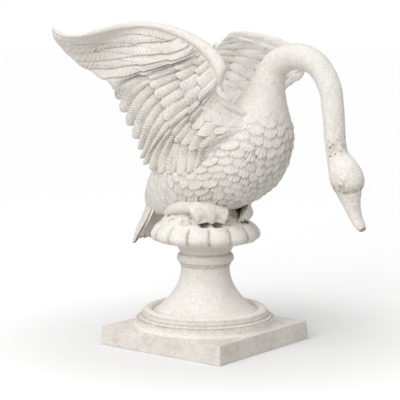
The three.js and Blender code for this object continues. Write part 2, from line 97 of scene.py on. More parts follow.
def cast_paint(name, grime_and_shade, sand):
    """Oil paint gone matt over sand-cast grey iron: chalky off-white on the high places, brown
    dirt and painted shade in the hollows, blow holes of 2 to 3 mm, and the barbs of the feathers
    where a piece carries them. The sand grain is under a millimetre on a real casting and is drawn
    at about 4 mm, as coarse as it needs to show; its darker specks are partly dark grains and
    partly painted shade of the grain. The first number is the strength of the dirt and of the
    painted shade in the hollows, and sand the height of the grain in mm."""
    paint = bpy.data.materials.new(name)
    paint.use_nodes = True
    tree = paint.node_tree
    tree.nodes.clear()
    place = add_node(tree, "ShaderNodeTexCoord").outputs["Object"]
    cloudy = add_node(tree, "ShaderNodeTexNoise", Vector=place, Scale=1 / MM / CLOUD_SIZE,
                      Detail=3).outputs[0]
    patchy = add_node(tree, "ShaderNodeTexNoise", Vector=place, Scale=1 / MM / PATCH_SIZE,
                      Detail=4, Roughness=0.6).outputs[0]
    grain = add_node(tree, "ShaderNodeTexNoise", Vector=place, Scale=1 / MM / GRAIN_SIZE,
                     Detail=4, Roughness=0.7).outputs[0]
    cool = add_node(tree, "ShaderNodeMapRange", Value=cloudy, From_Min=0.35, From_Max=0.68)
    tone = add_node(tree, "ShaderNodeMix", {"data_type": "RGBA"}, _0=cool.outputs[0],
                    _6=linear(PAINT_HIGH), _7=linear(PAINT_COOL))
    stain = add_node(tree, "ShaderNodeMapRange", Value=patchy, From_Min=0.5, From_Max=0.78,
                     To_Max=0.6)
    tone = add_node(tree, "ShaderNodeMix", {"data_type": "RGBA"}, _0=stain.outputs[0],
                    _6=tone.outputs[2], _7=linear(PAINT_STAIN))
    # Darker specks over the sand grain: partly dark grains in the paint, partly painted shade of
    # the grain's relief
    specks_and_grain_shade = add_node(tree, "ShaderNodeMapRange", Value=grain, From_Min=0.47, From_Max=0.72,
                      To_Max=0.5)
    tone = add_node(tree, "ShaderNodeMix", {"data_type": "RGBA"}, _0=specks_and_grain_shade.outputs[0],
                    _6=tone.outputs[2], _7=linear(PAINT_SPECK_AND_GRAIN_SHADE))
    # Brown in the hollows: partly dirt, partly painted shade darkening the grooves, creases and
    # seams
    hollow = add_node(tree, "ShaderNodeAttribute", {"attribute_name": "hollow"}).outputs[2]
    depth = add_node(tree, "ShaderNodeMapRange", Value=hollow, From_Min=0.15, From_Max=2.5)
    uneven = add_node(tree, "ShaderNodeMapRange", Value=patchy, From_Min=0.3, From_Max=0.62,
                      To_Min=0.45 * grime_and_shade, To_Max=grime_and_shade)
    dirt_and_shade = add_node(tree, "ShaderNodeMath", {"operation": "MULTIPLY"}, _0=depth.outputs[0],
                    _1=uneven.outputs[0])
    tone = add_node(tree, "ShaderNodeMix", {"data_type": "RGBA"}, _0=dirt_and_shade.outputs[0],
                    _6=tone.outputs[2], _7=linear(DIRT_AND_SHADE_BROWN))
    holes = add_node(tree, "ShaderNodeTexVoronoi", Vector=place, Scale=1 / MM / HOLE_SPACING)
    rare = add_node(tree, "ShaderNodeMapRange", Value=cloudy, From_Min=0.46, From_Max=0.6)
    pit = add_node(tree, "ShaderNodeMapRange", Value=holes.outputs[0], From_Min=0.04,
                   From_Max=0.085, To_Min=1, To_Max=0)
    pit = add_node(tree, "ShaderNodeMath", {"operation": "MULTIPLY"}, _0=pit.outputs[0],
                   _1=rare.outputs[0])
    rust = add_node(tree, "ShaderNodeMath", {"operation": "MULTIPLY"}, _0=pit.outputs[0], _1=0.75)
    tone = add_node(tree, "ShaderNodeMix", {"data_type": "RGBA"}, _0=rust.outputs[0],
                    _6=tone.outputs[2], _7=linear(HOLE_RUST))
    turns = add_node(tree, "ShaderNodeAttribute", {"attribute_name": "barb"}).outputs[2]
    phase = add_node(tree, "ShaderNodeMath", {"operation": "MULTIPLY"}, _0=turns, _1=math.tau)
    wave = add_node(tree, "ShaderNodeMath", {"operation": "SINE"}, _0=phase.outputs[0])
    strong = add_node(tree, "ShaderNodeAttribute", {"attribute_name": "comb"}).outputs[2]
    barbs = add_node(tree, "ShaderNodeMath", {"operation": "MULTIPLY"}, _0=wave.outputs[0],
                     _1=strong)
    skin_bump = add_node(tree, "ShaderNodeBump", Distance=sand * MM, Height=grain)
    patch_bump = add_node(tree, "ShaderNodeBump", Distance=PATCH_BUMP * MM, Height=patchy,
                          Normal=skin_bump.outputs[0])
    barb_bump = add_node(tree, "ShaderNodeBump", Distance=BARB_BUMP * MM,
                         Height=barbs.outputs[0], Normal=patch_bump.outputs[0])
    pit_bump = add_node(tree, "ShaderNodeBump", {"invert": True}, Distance=HOLE_BUMP * MM,
                        Height=pit.outputs[0], Normal=barb_bump.outputs[0])
    shader = add_node(tree, "ShaderNodeBsdfPrincipled", Base_Color=tone.outputs[2],
                      Roughness=0.82, Specular_IOR_Level=0.3, Normal=pit_bump.outputs[0])
    add_node(tree, "ShaderNodeOutputMaterial", Surface=shader.outputs[0])
    return paint


def lumps(points, size, seed):
    """Smooth unevenness from -1 to 1 at points in mm, with features of about this size"""
    flat = np.asarray(points, float).reshape(-1, 3) / size + seed
    values = [noise.noise(Vector(p)) for p in flat.tolist()]
    return np.array(values).reshape(np.shape(points)[:-1])


def unevenness(points, layers):
    """The height in mm of layers of lumps, each with its size, seed and height"""
    return sum(lumps(points, size, seed) * height for size, seed, height in layers)


def finish_piece(piece, node, paint, angle):
    """Shading, finish, the casting that it stands for and the body that it rides on"""
    bpy.ops.object.select_all(action="DESELECT")
    piece.select_set(True)
    bpy.context.view_layer.objects.active = piece
    bpy.ops.object.shade_smooth_by_angle(angle=math.radians(angle))
    piece.select_set(False)
    piece.data.materials.clear()
    piece.data.materials.append(paint)
    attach(piece, "root")
    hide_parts(node)


def note(mesh, name, values):
    """Keeps a number per point for the paint: depth of hollows in mm, turns of the barbs"""
    layer = mesh.attributes.new(name, "FLOAT", "POINT")
    layer.data.foreach_set("value", np.asarray(values, np.float32).ravel())


pedestal_paint = cast_paint("matt oil paint on sand-cast iron, pedestal", 0.8, 1.9)

bpy.ops.mesh.primitive_cube_add(size=1, location=(0, 0, PLINTH_HEIGHT * MM / 2))
plinth = bpy.context.object
plinth.name = "pedestal_plinth"
plinth.scale = (PLINTH_SIDE * MM, PLINTH_SIDE * MM, PLINTH_HEIGHT * MM)
bpy.ops.object.transform_apply(location=True, rotation=False, scale=True)
bpy.ops.object.mode_set(mode="EDIT")
bpy.ops.mesh.select_all(action="DESELECT")
shape = bmesh.from_edit_mesh(plinth.data)
for face in shape.faces:
    face.select_set(face.normal.z > 0.9)
shape.select_flush_mode()
bmesh.update_edit_mesh(plinth.data)
taper = 1 - 2 * PLINTH_DRAFT / PLINTH_SIDE
bpy.ops.transform.resize(value=(taper, taper, 1))
bpy.ops.mesh.select_all(action="SELECT")
bpy.ops.mesh.subdivide(number_cuts=PLINTH_CUTS)
bpy.ops.mesh.select_all(action="DESELECT")
bpy.ops.mesh.select_mode(type="EDGE")
bpy.ops.mesh.edges_select_sharp(sharpness=math.radians(60))
bpy.ops.mesh.bevel(offset=PLINTH_EDGE * MM, segments=3, affect="EDGES")
bpy.ops.object.mode_set(mode="OBJECT")
shape = bmesh.new()
shape.from_mesh(plinth.data)
shape.normal_update()
spots = np.array([v.co[:] for v in shape.verts]) / MM
waves = unevenness(spots, PLINTH_WAVES)
nicks = np.clip(lumps(spots, NICK_SIZE, 7.7) - NICKS_SPARED, 0, 1) * EDGE_WEAR * 3
half = PLINTH_SIDE / 2
for vertex, spot, wave, nick in zip(shape.verts, spots, waves, nicks):
    sides = sorted((half - abs(spot[0]), half - abs(spot[1]), PLINTH_HEIGHT - spot[2]))
    near_edge = max(0.0, 1 - sides[1] / EDGE_REACH)
    if spot[2] > 0.5:
        middle = Vector((0, 0, PLINTH_HEIGHT * MM / 2))
        inwards = (middle - vertex.co).normalized()
        vertex.co += vertex.normal * min(wave, 0.2) * MM * (1 - near_edge)
        vertex.co += inwards * nick * near_edge * MM
shape.to_mesh(plinth.data)
shape.free()
# The whole plinth carries half a millimetre of hollow, so it is browner and darker all over:
# partly its yellower dirt, partly painted shade low down near the floor; its dips are darker too
note(plinth.data, "hollow", np.clip(-waves * 2, 0, 1) + 0.5)
finish_piece(plinth, "pedestal", pedestal_paint, 40)

# Socle
# The turned column of the pedestal, cast in one with the plinth from a lathe-turned pattern:
# a band, a ring, a broad torus, a flaring stem, a bead under the cap and a hollow cap.
SOCLE_TURNS = 200
STEM_STEPS = 30
STEM_CURVE = 2.05
SOCLE_WAVES = ((30, 1.7, 0.35), (8, 5.2, 0.14))
SEAM_DARKENING = 1.5
# Darker seams between the mouldings: lowest and highest place in mm above the plinth
SEAMS = ((15.5, 18), (21.6, 24), (29.5, 33.5), (131, 134.5), (136, 139), (158, 161))
# The outline from the plinth to the foot of the stem, then from its top up: radius and height
SOCLE_LINE = [
    (150, 0.0), (159, 0.0), (156.8, 0.9), (154.7, 2.6), (153.4, 5.2), (153, 8), (153, 15.2),
    (152.5, 16.6), (151.4, 17.1), (146.6, 17.1), (147.2, 18.2), (147.1, 19.8), (146.2, 21.3),
    (144.3, 22.2), (141.5, 22.3), (139.6, 22.1), (138.9, 22.9), (139.3, 25), (139.2, 28),
    (138.2, 31.2), (136.3, 34.3), (133.6, 36.9), (130.5, 38.5), (127, 39), (123.4, 38.3),
    (120.4, 36.8), (118.3, 34.6), (117.2, 32.4), (116.2, 31.6), (114.8, 31.8), (112.9, 33.2),
]
STEM_FOOT = (114, 29.5)
STEM_TOP = (53.7, 128)
CAP_LINE = [
    (53.6, 131), (53.9, 132.6), (55.8, 133.2), (56.3, 134.4), (56.3, 136), (55.6, 137),
    (56.2, 137.6), (58.6, 139), (61, 141.6), (62.5, 145), (63, 148.5), (62.6, 152), (61.2, 155.2),
    (59.2, 157.6), (56.9, 158.8), (56.3, 159.6), (56.5, 162), (57.6, 165.4), (59.4, 169),
    (61.4, 172.4), (62.8, 174.8), (63.6, 176.4), (64, 177.6), (64, 178.6), (63.4, 179), (40, 179),
]

profile = list(SOCLE_LINE)
for step in range(1, STEM_STEPS + 1):
    rise = step / STEM_STEPS
    reach = STEM_TOP[0] + (STEM_FOOT[0] - STEM_TOP[0]) * (1 - rise) ** STEM_CURVE
    height = STEM_FOOT[1] + (STEM_TOP[1] - STEM_FOOT[1]) * rise
    if height > SOCLE_LINE[-1][1] + 0.6:
        profile.append((reach, height))
profile += CAP_LINE
corners = [(r * MM, 0, (z + PLINTH_HEIGHT) * MM) for r, z in profile]
corners = [(0, 0, corners[0][2] - MM)] + corners + [(0, 0, corners[-1][2])]
socle_mesh = bpy.data.meshes.new("pedestal_socle")
socle_mesh.from_pydata(corners, [(i, i + 1) for i in range(len(corners) - 1)], [])
socle = bpy.data.objects.new("pedestal_socle", socle_mesh)
bpy.context.collection.objects.link(socle)
bpy.context.view_layer.objects.active = socle
socle.select_set(True)
bpy.ops.object.mode_set(mode="EDIT")
bpy.ops.mesh.select_all(action="SELECT")
bpy.ops.mesh.spin(steps=SOCLE_TURNS, angle=math.tau, center=(0, 0, 0), axis=(0, 0, 1))
bpy.ops.mesh.select_all(action="SELECT")
bpy.ops.mesh.remove_doubles(threshold=0.02 * MM)
bpy.ops.mesh.normals_make_consistent(inside=False)
bpy.ops.object.mode_set(mode="OBJECT")
shape = bmesh.new()
shape.from_mesh(socle.data)
shape.normal_update()
spots = np.array([v.co[:] for v in shape.verts]) / MM
waves = unevenness(spots, SOCLE_WAVES)
for vertex, wave in zip(shape.verts, waves):
    vertex.co += vertex.normal * (min(wave, 0.3) - 0.1) * MM
shape.to_mesh(socle.data)
shape.free()
hollow_of_socle = np.zeros(len(spots))
for low, high in SEAMS:
    middle = PLINTH_HEIGHT + (low + high) / 2
    from_seam = np.abs(spots[:, 2] - middle) / (high - low)
    hollow_of_socle += SEAM_DARKENING * np.clip(1 - from_seam, 0, 1)
note(socle.data, "hollow", hollow_of_socle + np.clip(-waves, 0, 1))
finish_piece(socle, "pedestal", pedestal_paint, 40)

# Mound
# The ground under the bird, part of the bird's own casting: a cushion edged with fifteen
# rounded lobes, rough and pitted on top where the bird stands.
SEAT = 220.3
MOUND_RADIUS = 121
MOUND_HEIGHT = 80
MOUND_LOBES = 15
MOUND_STATIONS = 110
LOBE_COLUMNS = 20
LOBE_DEPTH = 7
LOBE_SAG = 3.5
LOBE_ROUND = 0.7
# The ground rises towards the flanks at this bearing in degrees, over this reach in radians
GROUND_BEARING = 118
GROUND_REACH = 1.05
GROUND_RISE = 15
GROUND_LUMPS = ((15, 2.2, 3.2), (6, 4.4, 1.8))
MOUND_WAVES = ((22, 8.1, 0.5), (7, 1.1, 0.2))
# Bearings in degrees of the dark openings under the webs, their width in radians, their depth
# and the strength of the painted shade in them
UNDER_WEBS = (-53.5, -35.5, 21.5)
OPENING_WIDTH = 0.1
OPENING_DEPTH = 7
OPENING_SHADE = 6
# The cushion's outline from the middle of its underside to the middle of its top, as shares of
# its radius and height
MOUND_ROWS = [
    [0.3, 0.0], [0.53, 0.0], [0.66, 0.02], [0.8, 0.07], [0.93, 0.12], [0.99, 0.2], [1, 0.3],
    [0.97, 0.42], [0.9, 0.54], [0.81, 0.62], [0.74, 0.67], [0.67, 0.78], [0.58, 0.98],
    [0.4, 1.12], [0.15, 1.15],
]

swan_paint = cast_paint("matt oil paint on sand-cast iron, swan", 1.0, 1.7)


def along(rows, places):
    """A smooth run through rows of numbers, read at places from 0 to the last row"""
    rows = np.asarray(rows, float)
    places = np.asarray(places, float)
    last = len(rows) - 1
    i = np.clip(np.floor(places).astype(int), 0, last - 1)
    f = (places - i)[..., None]
    before, here = rows[np.clip(i - 1, 0, last)], rows[i]
    after, later = rows[i + 1], rows[np.clip(i + 2, 0, last)]
    slope = (after - before) * f
    bend = (2 * before - 5 * here + 4 * after - later) * f ** 2
    twist = (3 * here - before - 3 * after + later) * f ** 3
    return 0.5 * (2 * here + slope + bend + twist)


def smooth(values):
    """An even rise from 0 to 1 with soft ends"""
    t = np.clip(values, 0, 1)
    return t * t * (3 - 2 * t)


def bump(values, width):
    """A soft round bump of height 1 about 0, with this half width"""
    return np.exp(-(values / width) ** 2)


def hollows(relief, reach):
    """How far relief lies below its own average over a reach of neighbours, rings wrapped"""
    total = np.zeros_like(relief)
    for k in range(-reach, reach + 1):
        total += np.roll(relief, k, axis=1)
    wide = total / (2 * reach + 1)
    padded = np.pad(wide, ((reach, reach), (0, 0)), mode="edge")
    spread = sum(padded[k:k + len(relief)] for k in range(2 * reach + 1)) / (2 * reach + 1)
    return np.clip(spread - relief, 0, 4)


def skin(name, rings, depths, barbs=None, combs=None):
    """A closed skin over rings of equal counts of points in mm, both ends closed"""
    count, columns = rings.shape[:2]
    points = [rings.reshape(-1, 3), rings[0].mean(0)[None], rings[-1].mean(0)[None]]
    a = (np.arange(count - 1)[:, None] * columns + np.arange(columns)[None]).ravel()
    b = (np.arange(count - 1)[:, None] * columns + (np.arange(columns)[None] + 1) % columns)
    b = b.ravel()
    quads = np.stack([a, b, b + columns, a + columns], 1).tolist()
    low, high = count * columns, count * columns + 1
    ring = np.arange(columns)
    turned = (ring + 1) % columns
    first = np.stack([turned, ring, np.full(columns, low)], 1).tolist()
    top = (count - 1) * columns
    closing = np.stack([ring + top, turned + top, np.full(columns, high)], 1).tolist()
    mesh = bpy.data.meshes.new(name)
    mesh.from_pydata((np.concatenate(points) * MM).tolist(), [], quads + first + closing)
    mesh.update()
    for kind, values in (("hollow", depths), ("barb", barbs), ("comb", combs)):
        if values is not None:
            note(mesh, kind, np.concatenate([np.ravel(values), values[0, :1], values[-1, :1]]))
    shape = bmesh.new()
    shape.from_mesh(mesh)
    if shape.calc_volume(signed=True) < 0:
        bmesh.ops.reverse_faces(shape, faces=shape.faces)
        shape.to_mesh(mesh)
    shape.free()
    piece = bpy.data.objects.new(name, mesh)
    bpy.context.collection.objects.link(piece)
    return piece


places = np.linspace(0, len(MOUND_ROWS) - 1, MOUND_STATIONS)
shares = along(MOUND_ROWS, places)
columns = MOUND_LOBES * LOBE_COLUMNS
bearing = np.arange(columns) / columns * math.tau
swell = np.abs(np.sin(bearing * MOUND_LOBES / 2)) ** LOBE_ROUND
folded = np.abs((bearing + math.pi) % math.tau - math.pi)
rising = smooth(1 - np.abs(folded - math.radians(GROUND_BEARING)) / GROUND_REACH)[None]
inside = (smooth((0.9 - shares[:, 0]) / 0.22) * smooth((places - 8) / 2))[:, None] * rising
edge = (smooth((shares[:, 0] - 0.8) / 0.12) * smooth((places - 2.2) / 2.0))[:, None]
edge = edge * (1 - inside)
radius = shares[:, :1] * MOUND_RADIUS - LOBE_DEPTH * edge * (1 - swell)[None]
high = smooth((shares[:, 1:] - 0.35) * 3)
height = shares[:, 1:] * MOUND_HEIGHT - LOBE_SAG * edge * high * (1 - swell)[None]
height = height + GROUND_RISE * inside
mound_rings = np.stack([radius * np.cos(bearing), radius * np.sin(bearing), height + SEAT], 2)
rough = np.maximum(smooth((0.9 - shares[:, :1]) * 7) * smooth((places - 8) / 2)[:, None], inside)
ground = unevenness(mound_rings, GROUND_LUMPS)
mound_rings[..., 2] += rough * ground
openings = np.zeros_like(rough * swell)
under = rough * smooth((0.86 - shares[:, :1]) / 0.06)
for web_bearing in UNDER_WEBS:
    gap = (bearing - math.radians(web_bearing) + math.pi) % math.tau - math.pi
    openings = np.maximum(openings, bump(gap, OPENING_WIDTH)[None] * under)
mound_rings[..., 2] -= OPENING_DEPTH * openings
rim = edge * unevenness(mound_rings, MOUND_WAVES)
mound_rings[..., 0] += rim * np.cos(bearing)
mound_rings[..., 1] += rim * np.sin(bearing)
# Painted shade in the grooves between the lobes, and darker in the dips of the rough ground
depths = 1.6 * edge * np.clip(1 - swell * 1.7, 0, 1)[None] + rough * np.clip(-ground, 0, 3)
# The openings under the webs are painted dark as their shade
depths += OPENING_SHADE * openings
mound = skin("swan_mound", mound_rings, depths)
finish_piece(mound, "swan", swan_paint, 60)

# Body
# The hollow cast body from the rump to the root of the neck. The breast and the flanks are
# covered with overlapping scale-like feathers that point down, away from the smooth shoulders.
# Rings from the rump forwards in mm over the mound's seat: x and z of the lowest and of the
# highest point, and half the width
BODY_RINGS = [
    [-132, 58, -150, 94, 33], [-108, 56, -140, 127, 54], [-70, 58, -119, 165, 77],
    [-18, 67, -76, 203, 98], [45, 75, -26, 238, 108], [110, 97, 22, 266, 108],
    [165, 133, 56, 287, 103], [196, 181, 80, 303, 92], [210, 230, 95, 317, 77],
    [209, 272, 107, 331, 62], [203, 308, 119, 347, 49], [201, 338, 131, 365, 38],
]
# The neck's middle line, x, z and radius; then the head's and bill's, with half depth and width
NECK_LINE = [
    [176, 380, 31], [192, 398, 29.5], [216, 409.5, 27.7], [244, 412, 27], [271, 406, 25.8],
    [293, 391, 24.7], [309, 371, 24], [321, 345, 23.4], [327, 315, 22.8], [330, 285, 22.2],
    [332.5, 252, 21.7], [336, 226, 21.7],
]
HEAD_LINE = [
    [341, 211, 23.5, 23.5], [347, 198, 28, 26.5], [355, 184, 33, 30], [362, 170, 35.5, 32],
    [367, 156, 34, 31], [369, 143, 28.5, 26.5], [371, 132, 23.5, 23], [375, 118, 18, 19.5],
    [380, 102, 14, 17], [388, 86, 11.5, 15.5], [397, 72, 9, 13], [404, 64, 5.5, 9],
]
NECK_JOIN = 12.0
JOIN_FADE = 0.7
FLANK_FULLNESS = 0.35
BODY_COLUMNS = 380
BODY_STATIONS = 225
BODY_WAVES = ((34, 0.4, 1.0), (9, 6.1, 0.3))
# Rows of scales lie round the breast's middle, measured in radians from its top
SCALE_ROW = 0.172
SCALES_ROUND = 30
BREAST_LENGTH = 175
BREAST_WIDTH = 118
SCALE_STEP = 2.9
SCALE_CROWN = 0.5
SCALE_LENGTH = 0.56
SCALE_BARBS = 3.4
SCALES_START = 0.66
FRONT_CROWDING = 0.28
REAR_CROWDING = 0.5
# The rows wander: height in rows, waves round the breast and where they start
ROW_WAVES = ((0.3, 3, 0), (0.25, 5, 1))
BREAST_MIDDLE = (60, 0, 190)
BREAST_TOP = (0.42, 0, 0.91)


def bird_sections():
    """Middle x and z, direction to the back, half depth and half width, ring by ring"""
    rows = []
    for vx, vz, dx, dz, width in BODY_RINGS:
        turn = math.atan2(dz - vz, dx - vx)
        rows.append([(vx + dx) / 2, (vz + dz) / 2, turn, math.hypot(dx - vx, dz - vz) / 2, width])
    line = [[x, z, r, r] for x, z, r in NECK_LINE] + HEAD_LINE
    for i, (x, z, depth, width) in enumerate(line):
        ax, az = line[max(i - 1, 0)][:2]
        bx, bz = line[min(i + 1, len(line) - 1)][:2]
        turn = math.atan2(bz - az, bx - ax) + math.pi / 2
        if i == 0:
            turn = rows[-1][2]
        rows.append([x, z, turn, depth, width])
    return rows


SECTIONS = bird_sections()


def bird_surface(places, columns):
    """Points in mm of the bare form, one ring per place, and the angles round it"""
    x, z, turn, depth, width = [v[:, None] for v in along(SECTIONS, places).T]
    angle = (np.arange(columns) / columns * math.tau)[None]
    full = 1 - FLANK_FULLNESS * smooth((4.5 - places) / 3)[:, None] * (np.cos(angle) < 0)
    up = depth * np.sign(np.cos(angle)) * np.abs(np.cos(angle)) ** full
    out = width * np.sign(np.sin(angle)) * np.abs(np.sin(angle)) ** full
    points = np.stack([x + up * np.cos(turn), out + 0 * up, z + up * np.sin(turn) + SEAT], 2)
    return points, angle


def normals(points):
    """Unit normals of a grid of points, pointing away from the middle of each ring"""
    ahead = np.gradient(points, axis=0)
    across = np.roll(points, -1, axis=1) - np.roll(points, 1, axis=1)
    n = np.cross(ahead, across)
    n /= np.linalg.norm(n, axis=2, keepdims=True) + 1e-9
    outwards = points - points.mean(axis=1, keepdims=True)
    return n * np.sign((n * outwards).sum(axis=(1, 2)))[:, None, None]


def chance(a, b, seed=0.0):
    """A steady number from 0 to 1 for each pair of numbers"""
    v = np.sin(a * 12.9898 + b * 78.233 + seed * 37.719) * 43758.5453
    return v - np.floor(v)


def scales(points):
    """Overlapping rounded feathers in rows round the breast: height in mm, barbs, strength"""
    rel = points - np.array(BREAST_MIDDLE) - np.array([0, 0, SEAT])
    reach = np.linalg.norm(rel, axis=2)
    top = np.array(BREAST_TOP) / np.linalg.norm(BREAST_TOP)
    side = np.array([0, 1.0, 0])
    front = np.cross(side, top)
    polar = np.arccos(np.clip((rel @ top) / reach, -1, 1))
    ahead = rel @ front
    frontness = smooth(ahead / 110)
    rearness = smooth(-ahead / 220)
    ahead = ahead / np.where(ahead > 0, BREAST_LENGTH, BREAST_WIDTH)
    around = np.arctan2(rel @ side / BREAST_WIDTH, ahead)
    v = polar / SCALE_ROW * (1 + FRONT_CROWDING * frontness + REAR_CROWDING * rearness)
    for rise, waves, start in ROW_WAVES:
        v = v + rise * np.sin(waves * around + start)
    row = np.floor(v)
    ridge, barbs, combs = np.zeros_like(v), np.zeros_like(v), np.zeros_like(v)
    covered = np.zeros(v.shape, bool)
    for upper in (1, 0):
        k = row - upper
        count = np.round(SCALES_ROUND * np.sin(np.clip(k * SCALE_ROW, 0.5, 1.57)) / 6)
        count = np.maximum(count, 1) * 6
        w = around / math.tau * count + 0.5 * (k % 2) + 0.16 * chance(k, k, 5)
        column = np.floor(w)
        a = w - column - 0.5
        luck = chance(k, column % count)
        luck2 = chance(k, column % count, 2)
        arc = np.sqrt(np.clip(1 - (2.0 * a) ** 2, 0, 1))
        length = 1 + (SCALE_LENGTH + 0.24 * (luck - 0.5)) * arc
        t = (v - k) / length
        mine = (t <= 1) & ~covered
        spread = a * 30 / (6 + 22 * np.clip(v - k, 0, 2))
        crown = SCALE_CROWN * (1 - (2 * a) ** 4) * smooth((1.15 - t) * 2)
        height = SCALE_STEP * (0.6 + 0.8 * luck) * t ** 1.6 + crown * smooth(t * 2)
        lip = smooth((1 - t) * 12)
        ridge = np.where(mine, height * (0.6 + 0.4 * lip), ridge)
        barbs = np.where(mine, spread * SCALE_BARBS + luck, barbs)
        combs = np.where(mine, (0.15 + 0.9 * luck2 ** 2) * smooth((t - 0.15) * 2) * lip, combs)
        covered |= mine
    fade = smooth((polar - SCALES_START + 0.3 * frontness) / 0.4)
    fade = fade * (0.4 + 0.6 * smooth((points[..., 0] + 70) / 110))
    return ridge * fade, barbs, combs * fade


belly = np.linspace(0, NECK_JOIN, BODY_STATIONS)
body_points, _ = bird_surface(belly, BODY_COLUMNS)
relief, barbs, combs = scales(body_points)
relief += unevenness(body_points, BODY_WAVES)
closing = smooth((NECK_JOIN - belly) / JOIN_FADE)[:, None]
relief *= closing
body_rings = body_points + normals(body_points) * relief[..., None]
# The hollows under the scales' edges are painted brown: partly dirt, partly painted shade under
# each overlapping scale
body = skin("swan_body", body_rings, hollows(relief, 5) * closing, barbs, combs * closing)
finish_piece(body, "swan", swan_paint, 60)

# Neck and head
# The arched neck with the head and bill hanging from it, cast with the body and left smooth.
# Ringed eyes, a line where the bill begins, a knob above it, nostrils and the line of the mouth.
NECK_COLUMNS = 180
NECK_STATIONS = 155
HEAD_STATIONS = 180
HEAD_START = 23.5
NECK_WAVES = ((26, 2.7, 0.8), (8, 3.3, 0.25))
# Round marks on both sides of the head: x and z, half width and rise in mm
EYE_PLACE = (380, 155)
EYE_HOLLOW = (9.0, -2.2)
EYE_BALL = (3.4, 2.6)
SKIN_WART = (368, 158, 3.2, 2.0)
MARK_FREE = 12
# Marks at a place along the sections and an angle from the back, in radians
BROWS = ((27.3, 1.3, 2.4), (27.0, 1.05, 1.8), (27.8, 1.55, 1.6))
BILL_BASE = 29.85
KNOB = (29.45, 0.0, 1.6)
NOSTRIL = (31.0, 0.75, -1.2)
MOUTH_ANGLE = 2.0
MOUTH_DEPTH = 1.4
WORN_NECK = (23.2, 1.1)
WORN_LORE = (28.6, 1.2)
SORE_SIZE = 4.2
SORE_DEPTH = 1.1
BILL_TIP = 34.4

head_places = np.linspace(HEAD_START + 0.06, len(SECTIONS) - 1, HEAD_STATIONS)
neck_places = np.concatenate([np.linspace(NECK_JOIN, HEAD_START, NECK_STATIONS), head_places])
neck_points, angle = bird_surface(neck_places, NECK_COLUMNS)
out = normals(neck_points)
place = neck_places[:, None]
from_join = smooth((place - NECK_JOIN) / JOIN_FADE)
folded = np.minimum(angle, math.tau - angle)
relief = unevenness(neck_points, NECK_WAVES)
relief *= from_join
midline = np.where(np.abs(neck_points[..., 1]) < MARK_FREE, 99, 0)
for x, z, width, rise in (EYE_PLACE + EYE_HOLLOW, EYE_PLACE + EYE_BALL, SKIN_WART):
    from_mark = np.hypot(neck_points[..., 0] - x, neck_points[..., 2] - SEAT - z) + midline
    relief += rise * bump(from_mark, width)
for brow_place, brow_angle, brow_rise in BROWS:
    brow = ((place - brow_place) / 0.35) ** 2 + ((folded - brow_angle) / 0.13) ** 2
    relief += brow_rise * np.exp(-brow)
base_line = BILL_BASE - 0.2 * bump(folded, 0.4) - 0.25 * smooth((folded - 1.3) / 0.5)
facing = smooth((1.75 - folded) / 0.6)
relief -= 2.8 * bump(place - base_line + 0.45, 0.5) * facing
relief -= 0.9 * bump(place - base_line + 0.12, 0.12) * facing
relief += 1.0 * bump(place - base_line - 0.12, 0.16) * facing
relief += KNOB[2] * bump(place - KNOB[0], 0.35) * bump(folded - KNOB[1], 0.4)
bill = smooth((place - 29.6) / 0.5) * smooth((34.6 - place) / 0.5)
relief -= MOUTH_DEPTH * bump(folded - MOUTH_ANGLE, 0.09) * bill
relief += NOSTRIL[2] * bump(place - NOSTRIL[0], 0.35) * bump(folded - NOSTRIL[1], 0.16)
coarse = lumps(neck_points, 7, 9.4)
worn = bump(place - WORN_NECK[0], WORN_NECK[1]) * smooth((2.4 - folded) / 0.6)
lore = bump(place - WORN_LORE[0], WORN_LORE[1]) * smooth((folded - 1.1) / 0.5)
worn = worn + 1.1 * lore
sores = smooth((lumps(neck_points, SORE_SIZE, 5.5) - 0.3) * 5) * (0.2 + worn)
relief += worn * coarse * 1.2 - SORE_DEPTH * sores
neck_rings = neck_points + out * relief[..., None]
closing = np.sqrt(np.clip(1 - np.clip((place - BILL_TIP) / 0.62, 0, 1) ** 2, 0, 1))[..., None]
middle = neck_points.mean(axis=1, keepdims=True)
neck_rings = middle + (neck_rings - middle) * closing
# Painted shade in the lore recess just above the line of the bill, darker at the bill's tip, and
# darker over the worn patches of the upper neck and the lore; the hollows of the relief get brown
# dirt and painted shade, the sores dirt
lore_shade_and_dark_patches = 1.1 * bump(place - base_line + 0.6, 0.6) * facing * (1 + 0.8 * coarse)
lore_shade_and_dark_patches = lore_shade_and_dark_patches + 2.2 * smooth((place - 34.2) / 0.6) + 1.1 * worn * np.clip(0.6 + coarse, 0, 1)
depths = hollows(relief, 4) + 1.2 * sores + np.maximum(lore_shade_and_dark_patches, 0)
neck = skin("swan_neck_head", neck_rings, depths * from_join)
finish_piece(neck, "swan", swan_paint, 60)

